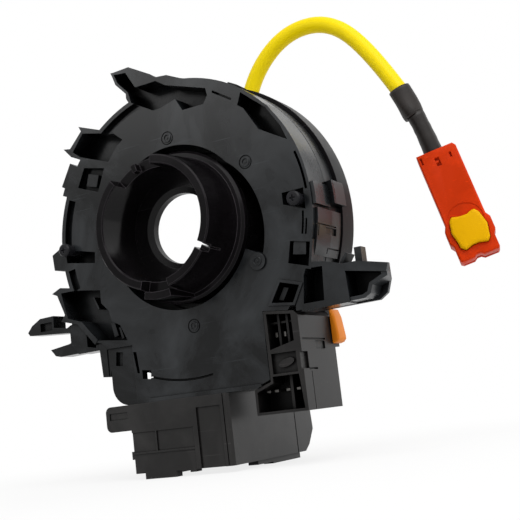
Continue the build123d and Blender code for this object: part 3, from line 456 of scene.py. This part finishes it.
def painted_shade_coat(tree, skin, colour, marks, gloss, uneven):
    """Painted shade: colour darkened and coat weight faded in the corners that occlusion finds."""
    link = tree.links.new
    # Occlusion stands in for the shade that falls in corners and recesses; the colour is painted
    # darker there and loses its coat.
    hidden = node_of(
        tree,
        "ShaderNodeAmbientOcclusion",
        {"Distance": PAINTED_SHADE_REACH},
        samples=PAINTED_SHADE_SAMPLES,
        only_local=True,
    )
    left = shared(tree, "Sheltered Gloss", {"Gloss": gloss, "Uneven": uneven})
    dark = node_of(tree, "ShaderNodeMix", {"B": toned(colour, PAINTED_SHADE_TONE)}, data_type="RGBA")
    link(hidden.outputs["AO"], left.inputs["Openness"])
    link(marks.outputs["Smudge"], left.inputs["Smudge"])
    link(left.outputs["Shelter"], dark.inputs["Factor"])
    link(skin, dark.inputs["A"])
    return dark.outputs["Result"], left.outputs["Weight"]


def moulded(
    name,
    colour,
    rough=0.38,
    rough_marks=0.12,
    grain_scale=900.0,
    grain_depth=0.02,
    smudge_scale=55.0,
    lift=1.9,
    wear_highlight_lift=2.2,
    scratches=1.0,
    round_mm=0.25,
    metallic=0.0,
    specular=0.5,
    coat=0.0,
    coat_rough=0.12,
    with_painted_shade=False,
    uneven=1.6,
):
    """Moulded finish: grain, smudges, scratches, edges lighter as wear and painted highlight, and
    painted shade in corners where asked.
    """
    material = bpy.data.materials.new(name)
    tree = emptied(material)
    link = tree.links.new
    out = node_of(tree, "ShaderNodeOutputMaterial")
    constants = {
        "Metallic": metallic,
        "Specular IOR Level": specular,
        "Coat Weight": coat,
        "Coat Roughness": coat_rough,
    }
    shader = node_of(tree, "ShaderNodeBsdfPrincipled", constants)
    where = node_of(tree, "ShaderNodeTexCoord").outputs["Object"]
    bevel = node_of(tree, "ShaderNodeBevel", {"Radius": round_mm * MM}, samples=BEVEL_SAMPLES)
    rounded = bevel.outputs["Normal"]
    marks = shared(tree, "Handling Marks", {"Smudge Scale": smudge_scale})
    dull = node_of(tree, "ShaderNodeMapRange", {"To Min": rough, "To Max": rough + rough_marks})
    normal = grained_normal(tree, where, rounded, grain_scale, grain_depth)
    skin = rubbed_highlit_colour(tree, colour, marks, rounded, lift, wear_highlight_lift, scratches)
    # Painted shade in corners and recesses, where the finish asks for it.
    if with_painted_shade:
        skin, weight = painted_shade_coat(tree, skin, colour, marks, coat, uneven)
        link(weight, shader.inputs["Coat Weight"])
    link(where, marks.inputs["Vector"])
    link(marks.outputs["Smudge"], dull.inputs["Value"])
    link(dull.outputs["Result"], shader.inputs["Roughness"])
    link(skin, shader.inputs["Base Color"])
    link(normal, shader.inputs["Normal"])
    link(shader.outputs["BSDF"], out.inputs["Surface"])
    return material


# ------------------------------------------------------------------ finishes


def cover_moulding(colour):
    """Cover: glossy face with painted shade and less coat gloss in its pockets."""
    return moulded(
        "Cover moulding",
        colour,
        rough=0.2,
        rough_marks=0.26,
        smudge_scale=24,
        lift=7.0,
        wear_highlight_lift=9.0,
        specular=0.07,
        coat=0.30,
        coat_rough=0.2,
        with_painted_shade=True,
    )


def drum_moulding(colour):
    """Drum wall and its brackets: softer sheen than the cover's, with painted shade in corners."""
    return moulded(
        "Drum moulding",
        colour,
        rough=0.26,
        rough_marks=0.16,
        smudge_scale=60,
        lift=4.0,
        wear_highlight_lift=9.0,
        specular=0.1,
        coat=0.32,
        coat_rough=0.46,
        with_painted_shade=True,
    )


def ring_moulding(colour):
    """Wheel-side ring: dark, with edges lightened as wear and as painted highlight."""
    return moulded("Ring moulding", colour, rough=0.34, wear_highlight_lift=22.0, specular=0.07)


def cam_moulding(colour):
    """Rotor sleeve: polished, with rounded rims lightened as painted highlight and wear."""
    return moulded(
        "Cam moulding",
        colour,
        rough=0.12,
        wear_highlight_lift=34.0,
        scratches=0.06,
        round_mm=0.4,
        specular=0.07,
    )


def hub_moulding(colour):
    """Rotor hub and the small pieces on it."""
    return moulded("Hub moulding", colour, rough=0.2, wear_highlight_lift=5.0, specular=0.15)


def housing_moulding(colour):
    """Lower plug housing: fine grain under an even sheen, with painted shade in corners."""
    return moulded(
        "Housing moulding",
        colour,
        rough=0.3,
        grain_scale=1300,
        wear_highlight_lift=5.0,
        specular=0.08,
        coat=0.34,
        coat_rough=0.28,
        with_painted_shade=True,
        uneven=1.08,
    )


def side_moulding(colour):
    """Side plug housing: duller than the lower one, with painted shade in corners."""
    return moulded(
        "Side housing",
        colour,
        rough=0.36,
        grain_scale=1300,
        wear_highlight_lift=5.0,
        specular=0.06,
        coat=0.26,
        coat_rough=0.34,
        with_painted_shade=True,
        uneven=1.08,
    )


def yellow_sleeve(colour):
    """Smooth sleeve round the lead's wires."""
    return moulded(
        "Yellow sleeve",
        colour,
        rough=0.34,
        grain_scale=700,
        grain_depth=0.004,
        lift=1.05,
        wear_highlight_lift=1.02,
        specular=0.1,
    )


def shrunk_boot(colour):
    """Matt shrunk tube with a coarse skin."""
    return moulded(
        "Shrunk boot", colour, rough=0.5, grain_scale=500, grain_depth=0.15, specular=0.3
    )


def lead_jacket(colour):
    """Jacket between boot and plug, a little darker than the boot."""
    shade = toned(colour, JACKET_TONE)[:3]
    return moulded(
        "Lead jacket", shade, rough=0.45, grain_scale=700, grain_depth=0.08, specular=0.3
    )


def plug_moulding(colour):
    """Satin body of the airbag plug."""
    return moulded(
        "Plug moulding",
        colour,
        rough=0.36,
        smudge_scale=90,
        lift=1.3,
        wear_highlight_lift=1.7,
        specular=0.05,
    )


def plug_lock(colour):
    """Satin lock of the airbag plug, with soft edges."""
    return moulded(
        "Plug lock", colour, rough=0.34, lift=1.05, wear_highlight_lift=1.7, round_mm=1.1, specular=0.04
    )


def side_lock(colour):
    """Satin lock of the side housing."""
    return moulded("Side lock", colour, rough=0.4, lift=1.1, wear_highlight_lift=1.2, specular=0.2)


def tin_contact():
    """Tin-plated contact metal."""
    tin = (0.11, 0.106, 0.10)
    return moulded("Tin contact", tin, rough=0.42, metallic=1.0, lift=0.85, wear_highlight_lift=1.3)


def coated_screw():
    """Black coated screw, with edges lightened as wear and as painted highlight."""
    black = (0.006, 0.006, 0.007)
    return moulded("Coated screw", black, rough=0.22, wear_highlight_lift=9.0, specular=0.12)


def ribbon_film():
    """Tan film of the flat cable."""
    return moulded("Ribbon film", (0.62, 0.56, 0.4), rough=0.35, lift=1.1, wear_highlight_lift=1.1)


def ribbon_block():
    """Natural white moulding at each end of the flat cable."""
    return moulded("Ribbon block", (0.6, 0.59, 0.53), rough=0.5, lift=1.1, wear_highlight_lift=1.1)


def slip_film():
    """Milky film that the coil slides on."""
    return moulded("Slip film", (0.7, 0.7, 0.66), rough=0.3, lift=1.05, wear_highlight_lift=1.05)


# ------------------------------------------------------------------ piece tools


def dress(finishes):
    """Give each CAD node its finish in every slot."""
    for name, material in finishes.items():
        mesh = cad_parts[name].data
        if not mesh.materials:
            mesh.materials.append(material)
        for index in range(len(mesh.materials)):
            mesh.materials[index] = material


def object_of(name, data):
    """New object at the origin, in the scene."""
    made = bpy.data.objects.new(name, data)
    bpy.context.scene.collection.objects.link(made)
    return made


def settle(mesh, name, body, slot, material, *nodes):
    """Turn a finished bmesh into a piece that rides on a body."""
    data = bpy.data.meshes.new(name)
    mesh.to_mesh(data)
    mesh.free()
    data.materials.append(material)
    piece = object_of(name, data)
    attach(piece, body)
    if nodes:
        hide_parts(*nodes)
    return piece


def softened(name, body, slot, material, radius, segments):
    """Copy of a CAD node with its sharp edges rounded, in place of the node."""
    mesh = bmesh.new()
    mesh.from_mesh(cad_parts[name].data)
    bmesh.ops.remove_doubles(mesh, verts=mesh.verts, dist=CAD_MERGE)
    bmesh.ops.dissolve_limit(mesh, angle_limit=FLAT_ANGLE, verts=mesh.verts, edges=mesh.edges)
    sharp = [
        edge
        for edge in mesh.edges
        if edge.is_manifold and edge.calc_face_angle(0.0) > SHARP_ANGLE
    ]
    bmesh.ops.bevel(
        mesh,
        geom=sharp,
        offset=radius * MM,
        offset_type="OFFSET",
        affect="EDGES",
        segments=segments,
        profile=0.5,
        material=-1,
        clamp_overlap=True,
    )
    for face in mesh.faces:
        face.smooth = True
    for edge in mesh.edges:
        edge.smooth = edge.is_manifold and edge.calc_face_angle(0.0) < SMOOTH_ANGLE
    return settle(mesh, "soft_" + name, body, slot, material, name)


# ------------------------------------------------------------------ operators


class CLOCKSPRING_OT_camera(bpy.types.Operator):
    """Set the camera that looks at the column side"""

    bl_idname = "clockspring.camera"
    bl_label = "Camera"

    def execute(self, context):
        data = bpy.data.cameras.new("Camera")
        data.sensor_width = SENSOR_WIDTH
        data.lens = context.scene.clockspring_stage.lens
        data.clip_start, data.clip_end = CAMERA_RANGE
        camera = object_of("Camera", data)
        right = Vector(CAMERA_RIGHT).normalized()
        back = Vector(CAMERA_BACK).normalized()
        up = back.cross(right).normalized()
        turn = Matrix((right, up, back)).transposed().to_4x4()
        camera.matrix_world = Matrix.Translation(CAMERA_PLACE) @ turn
        context.scene.camera = camera
        return {"FINISHED"}


class CLOCKSPRING_OT_plug(bpy.types.Operator):
    """Round and finish the airbag plug and both locks"""

    bl_idname = "clockspring.plug"
    bl_label = "Plug and Locks"

    def execute(self, context):
        colours = context.scene.clockspring_finish
        plug = plug_moulding(colours.plug)
        lock = plug_lock(colours.plug_lock)
        side = side_lock(colours.side_lock)
        softened("squib_connector", "rotor", "orange_red", plug, radius=0.35, segments=2)
        softened("squib_lock", "squib_catch", "lock_yellow", lock, radius=0.45, segments=3)
        softened("socket_lock", "socket_catch", "lock_orange", side, radius=0.5, segments=3)
        return {"FINISHED"}


class CLOCKSPRING_OT_lead(bpy.types.Operator):
    """Make the sleeved lead, its shrunk boot and the jacket into the plug"""

    bl_idname = "clockspring.lead"
    bl_label = "Wheel Lead"

    def execute(self, context):
        sizes = context.scene.clockspring_lead
        sleeve = self.sleeve(sizes)
        boot = self.boot(sizes)
        jacket = self.jacket(sizes)
        return {"FINISHED"}

    def sleeve(self, sizes):
        """NURBS line through the route, with a round section."""
        data = bpy.data.curves.new("lead_sleeve", "CURVE")
        data.dimensions = "3D"
        data.bevel_depth = sizes.sleeve_diameter / 2
        data.bevel_resolution = SECTION_STEPS
        data.resolution_u = CURVE_STEPS
        data.use_fill_caps = True
        spline = data.splines.new("NURBS")
        spline.points.add(len(LEAD_ROUTE) - 1)
        for point, place in zip(spline.points, LEAD_ROUTE):
            point.co = (*stand(*place), 1.0)
        spline.order_u = 3
        spline.use_endpoint_u = True
        spline.resolution_u = CURVE_STEPS
        data.materials.append(yellow_sleeve(sizes.sleeve_colour))
        sleeve = object_of("lead_sleeve", data)
        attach(sleeve, "rotor")
        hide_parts("airbag_lead")
        return sleeve

    def boot(self, sizes):
        """Crinkled boot that steps down from the sleeve to the jacket."""
        start = stand(*LEAD_ROUTE[-1])
        end = stand(*BOOT_END)
        lap = (end - start).normalized() * BOOT_LAP * MM
        narrow = sizes.jacket_diameter / 2 + BOOT_STEP * MM
        grip = sizes.boot_wide / 2 - narrow
        radii = [narrow + grip * share for share in BOOT_RINGS]
        mesh = self.tube(start - lap, end, radii, BOOT_CRINKLE)
        finish = shrunk_boot(sizes.boot_colour)
        return settle(mesh, "lead_boot", "rotor", "boot_rubber", finish, "shrink_boot")

    def jacket(self, sizes):
        """Jacket from the boot into the plug's cable end."""
        start = stand(*JACKET_START)
        end = self.plug_end()
        lap = (end - start).normalized() * JACKET_LAP * MM
        radii = [sizes.jacket_diameter / 2 * share for share in JACKET_RINGS]
        mesh = self.tube(start - lap, end + lap, radii, JACKET_CRINKLE, JACKET_BOW * MM)
        finish = lead_jacket(sizes.boot_colour)
        return settle(mesh, "lead_jacket", "rotor", "jacket_rubber", finish, "lead_tail")

    def plug_end(self):
        """Middle of the plug's cable end, where the jacket goes in."""
        turn = math.radians(PLUG_ANGLE)
        half = PLUG_LENGTH / 2
        x = PLUG_PLACE[0] - half * math.cos(turn) - PLUG_ENTRY * math.sin(turn)
        y = PLUG_PLACE[1] - half * math.sin(turn) + PLUG_ENTRY * math.cos(turn)
        return stand(x, y, PLUG_FACE - PLUG_THICKNESS / 2)

    def tube(self, start, end, radii, crinkle, bow=0.0):
        """Round tube between two points, with a radius for each ring and a bow to one side."""
        run = end - start
        last = len(radii) - 1
        mesh = bmesh.new()
        bmesh.ops.create_circle(mesh, segments=TUBE_SIDES, radius=radii[0], cap_ends=False)
        ring = list(mesh.edges)
        for index in range(1, len(radii)):
            grown = bmesh.ops.extrude_edge_only(mesh, edges=ring)["geom"]
            verts = [item for item in grown if isinstance(item, bmesh.types.BMVert)]
            ring = [item for item in grown if isinstance(item, bmesh.types.BMEdge)]
            share = radii[index] / radii[index - 1]
            before, after = (math.sin(math.pi * place / last) for place in (index - 1, index))
            bmesh.ops.translate(mesh, vec=(0, 0, run.length / last), verts=verts)
            bmesh.ops.scale(mesh, vec=(share, share, 1), verts=verts)
            self.fold(verts, index, crinkle)
            bmesh.ops.translate(mesh, vec=(bow * (after - before), 0, 0), verts=verts)
        bmesh.ops.holes_fill(mesh, edges=mesh.edges, sides=0)
        bmesh.ops.recalc_face_normals(mesh, faces=mesh.faces)
        turn = run.to_track_quat("Z", "Y").to_matrix().to_4x4()
        bmesh.ops.transform(mesh, matrix=Matrix.Translation(start) @ turn, verts=mesh.verts)
        for face in mesh.faces:
            face.smooth = len(face.verts) == 4
        return mesh

    def fold(self, verts, index, crinkle):
        """Swell and draw in a ring, each ring turned on from the one before."""
        depth = crinkle * math.sin(CRINKLE_SWELL * index)
        for vert in verts:
            around = math.atan2(vert.co.y, vert.co.x)
            swell = 1 + depth * math.sin(CRINKLE_FOLDS * around + CRINKLE_TURN * index)
            vert.co.x *= swell
            vert.co.y *= swell


class CLOCKSPRING_OT_mouldings(bpy.types.Operator):
    """Give the black mouldings, the ring and the housings their finishes"""

    bl_idname = "clockspring.mouldings"
    bl_label = "Black Mouldings"

    def execute(self, context):
        colours = context.scene.clockspring_finish
        hub = hub_moulding(colours.polished)
        finishes = {
            "rear_cover": cover_moulding(colours.moulding),
            "stator_case": drum_moulding(colours.moulding),
            "front_ring": ring_moulding(colours.polished),
            "cancel_cam": cam_moulding(colours.polished),
            "rotor_hub": hub,
            "switch_socket": hub,
            "lead_retainer": hub,
            "lower_housing": housing_moulding(colours.housing),
            "side_housing": side_moulding(colours.housing),
        }
        dress(finishes)
        return {"FINISHED"}


class CLOCKSPRING_OT_dials(bpy.types.Operator):
    """Make the raised ring and pip inside each round mould mark on the face"""

    bl_idname = "clockspring.dials"
    bl_label = "Mould Marks"

    def execute(self, context):
        mesh = bmesh.new()
        for angle, reach, rise in DIALS:
            turn = math.radians(angle)
            middle = stand(reach * math.cos(turn), reach * math.sin(turn), rise)
            for section in (DIAL_RING, DIAL_PIP):
                self.turned(mesh, middle, section)
        bmesh.ops.recalc_face_normals(mesh, faces=mesh.faces)
        finish = bpy.data.materials["Cover moulding"]
        settle(mesh, "mould_marks", "stator", "black_moulding", finish)
        return {"FINISHED"}

    def turned(self, mesh, middle, section):
        """Spin a stepped section once round a mark's own axis."""
        points = [middle + Vector((r * MM, -h * MM, 0.0)) for r, h in section]
        verts = [mesh.verts.new(point) for point in points]
        edges = [mesh.edges.new(pair) for pair in zip(verts, verts[1:])]
        bmesh.ops.spin(
            mesh,
            geom=verts + edges,
            cent=middle,
            axis=(0.0, 1.0, 0.0),
            angle=math.tau,
            steps=DIAL_STEPS,
            use_merge=True,
        )
        bmesh.ops.remove_doubles(mesh, verts=mesh.verts, dist=DIAL_MERGE)


class CLOCKSPRING_OT_metal(bpy.types.Operator):
    """Give contacts, screws, ribbon and films their finishes"""

    bl_idname = "clockspring.metal"
    bl_label = "Contacts and Ribbon"

    def execute(self, context):
        tin = tin_contact()
        block = ribbon_block()
        finishes = {
            "lower_terminals": tin,
            "side_terminals": tin,
            "switch_terminals": tin,
            "squib_terminals": tin,
            "case_screws": coated_screw(),
            "flat_cable": ribbon_film(),
            "outer_lead_block": block,
            "inner_lead_block": block,
            "coil_liner": slip_film(),
        }
        dress(finishes)
        return {"FINISHED"}


class CLOCKSPRING_OT_stage(bpy.types.Operator):
    """Set the pale floor, the even room light and the soft lamps"""

    bl_idname = "clockspring.stage"
    bl_label = "Stage"

    def execute(self, context):
        sizes = context.scene.clockspring_stage
        self.floor(sizes)
        self.room(sizes)
        for name, place, width, share in LAMPS:
            self.lamp(name, place, width, sizes.key_power * share)
        context.scene.view_settings.view_transform = "Standard"
        return {"FINISHED"}

    def floor(self, sizes):
        """Flat floor that keeps the unit's shadow."""
        mesh = bmesh.new()
        bmesh.ops.create_grid(mesh, x_segments=1, y_segments=1, size=sizes.floor_size / 2)
        bmesh.ops.translate(mesh, vec=(0, 0, sizes.floor_level), verts=mesh.verts)
        data = bpy.data.meshes.new("floor")
        mesh.to_mesh(data)
        mesh.free()
        data.materials.append(self.pale_floor(sizes))
        object_of("floor", data)

    def pale_floor(self, sizes):
        """Pale paint that shows as plain backdrop away from the unit."""
        material = bpy.data.materials.new("Pale floor")
        tree = emptied(material)
        link = tree.links.new
        out = node_of(tree, "ShaderNodeOutputMaterial")
        paint = node_of(tree, "ShaderNodeBsdfDiffuse", {"Color": FLOOR_PAINT})
        glow = node_of(tree, "ShaderNodeEmission", {"Color": (*sizes.backdrop, 1)})
        where = node_of(tree, "ShaderNodeTexCoord")
        reach = node_of(tree, "ShaderNodeVectorMath", operation="LENGTH")
        spread = {
            "From Min": GLOW_REACH[0],
            "From Max": GLOW_REACH[1],
            "To Min": GLOW_SHARE[0],
            "To Max": GLOW_SHARE[1],
        }
        fade = node_of(tree, "ShaderNodeMapRange", spread, interpolation_type="SMOOTHSTEP")
        share = node_of(tree, "ShaderNodeMath", operation="MULTIPLY")
        mix = node_of(tree, "ShaderNodeMixShader")
        link(where.outputs["Object"], reach.inputs[0])
        link(reach.outputs["Value"], fade.inputs["Value"])
        link(seen_rays(tree), share.inputs[0])
        link(fade.outputs["Result"], share.inputs[1])
        link(share.outputs["Value"], mix.inputs["Fac"])
        link(paint.outputs["BSDF"], mix.inputs[1])
        link(glow.outputs["Emission"], mix.inputs[2])
        link(mix.outputs["Shader"], out.inputs["Surface"])
        return material

    def room(self, sizes):
        """Even light all round, seen as the plain backdrop."""
        world = bpy.data.worlds.new("Room")
        bpy.context.scene.world = world
        tree = emptied(world)
        link = tree.links.new
        out = node_of(tree, "ShaderNodeOutputWorld")
        plain = {"Color": (*sizes.backdrop, 1), "Strength": 1.0}
        light = {"Color": ROOM_TINT, "Strength": sizes.room_light}
        seen = node_of(tree, "ShaderNodeBackground", plain)
        even = node_of(tree, "ShaderNodeBackground", light)
        mix = node_of(tree, "ShaderNodeMixShader")
        link(seen_rays(tree), mix.inputs["Fac"])
        link(even.outputs["Background"], mix.inputs[1])
        link(seen.outputs["Background"], mix.inputs[2])
        link(mix.outputs["Shader"], out.inputs["Surface"])

    def lamp(self, name, place, width, power):
        """Square soft lamp aimed at the unit."""
        data = bpy.data.lights.new(name, "AREA")
        data.size = width
        data.energy = power
        lamp = object_of(name, data)
        lamp.location = place
        lamp.rotation_mode = "QUATERNION"
        lamp.rotation_quaternion = (-Vector(place)).to_track_quat("-Z", "Y")


class CLOCKSPRING_PT_panel(bpy.types.Panel):
    """Lists what dresses the clock spring"""

    bl_idname = "CLOCKSPRING_PT_panel"
    bl_label = "Clock Spring"
    bl_space_type = "VIEW_3D"
    bl_region_type = "UI"
    bl_category = "Clock Spring"

    def draw(self, context):
        for kind in OPERATORS:
            self.layout.operator(kind.bl_idname)


OPERATORS = (
    CLOCKSPRING_OT_camera,
    CLOCKSPRING_OT_plug,
    CLOCKSPRING_OT_lead,
    CLOCKSPRING_OT_mouldings,
    CLOCKSPRING_OT_dials,
    CLOCKSPRING_OT_metal,
    CLOCKSPRING_OT_stage,
)
CLASSES = (
    ClockSpringStage,
    ClockSpringLead,
    ClockSpringFinish,
    *OPERATORS,
    CLOCKSPRING_PT_panel,
)


def register():
    for kind in CLASSES:
        bpy.utils.register_class(kind)
    point = bpy.props.PointerProperty
    bpy.types.Scene.clockspring_stage = point(type=ClockSpringStage)
    bpy.types.Scene.clockspring_lead = point(type=ClockSpringLead)
    bpy.types.Scene.clockspring_finish = point(type=ClockSpringFinish)


def unregister():
    del bpy.types.Scene.clockspring_finish
    del bpy.types.Scene.clockspring_lead
    del bpy.types.Scene.clockspring_stage
    for kind in reversed(CLASSES):
        bpy.utils.unregister_class(kind)


def main():
    """Register the add-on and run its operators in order."""
    register()
    bpy.ops.clockspring.camera()
    bpy.ops.clockspring.plug()
    bpy.ops.clockspring.lead()
    bpy.ops.clockspring.mouldings()
    bpy.ops.clockspring.dials()
    bpy.ops.clockspring.metal()
    bpy.ops.clockspring.stage()


if __name__ == "__main__":
    main()
